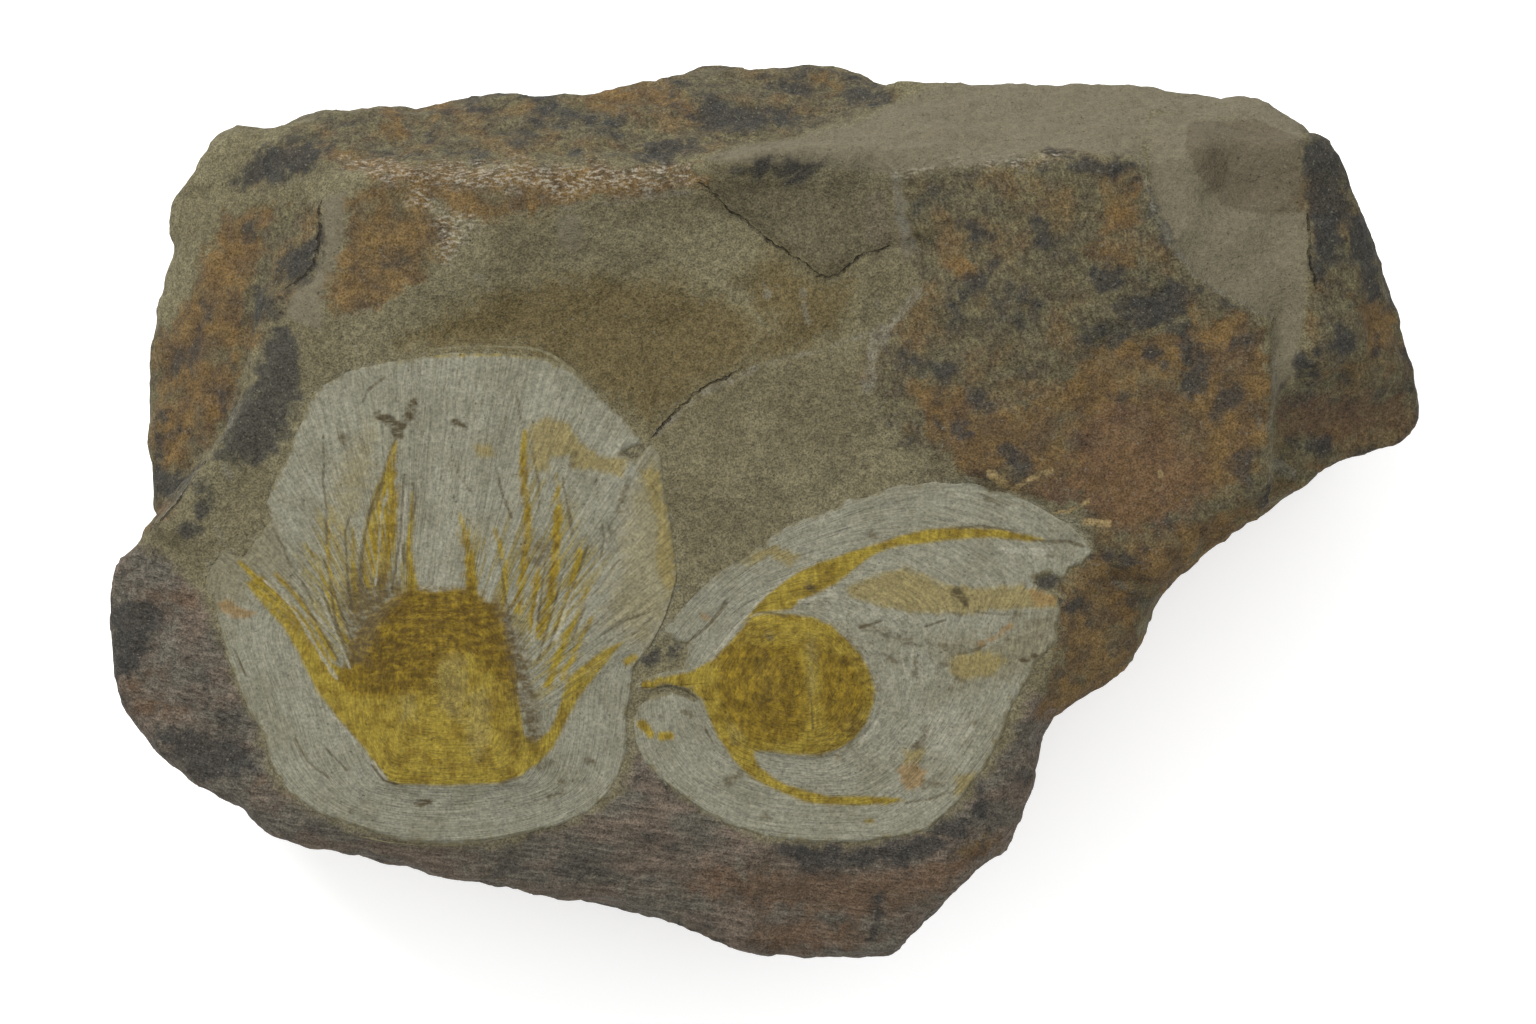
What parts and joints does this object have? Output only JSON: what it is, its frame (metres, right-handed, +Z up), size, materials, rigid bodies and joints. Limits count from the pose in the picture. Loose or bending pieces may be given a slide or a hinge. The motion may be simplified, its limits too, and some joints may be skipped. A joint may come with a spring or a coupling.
{
  "type": "fossil trilobite specimen",
  "caption": "Hand specimen of siltstone lying flat, with a fan-shaped trilobite tail shield and a rounded head shield set in its upper bedding face.",
  "frame": {"origin": "under the middle of the stone's box, on the flat underside that it rests on", "axes": "+X along the stone towards its thick end, +Y across the bedding face from the shields' foot towards the upper edge, +Z up out of the bedding face"},
  "size_m": [0.133, 0.0908, 0.0389],
  "materials": {
    "siltstone": "matt broken stone, stained with rust and dark blue-grey",
    "tail_shell": "matt pale grey with yellow stains",
    "head_shell": "matt pale grey with yellow stains"
  },
  "bodies": {
    "root": {"matrix": "siltstone", "tail_shield": "tail_shell", "head_shield": "head_shell"}
  },
  "joints": []
}
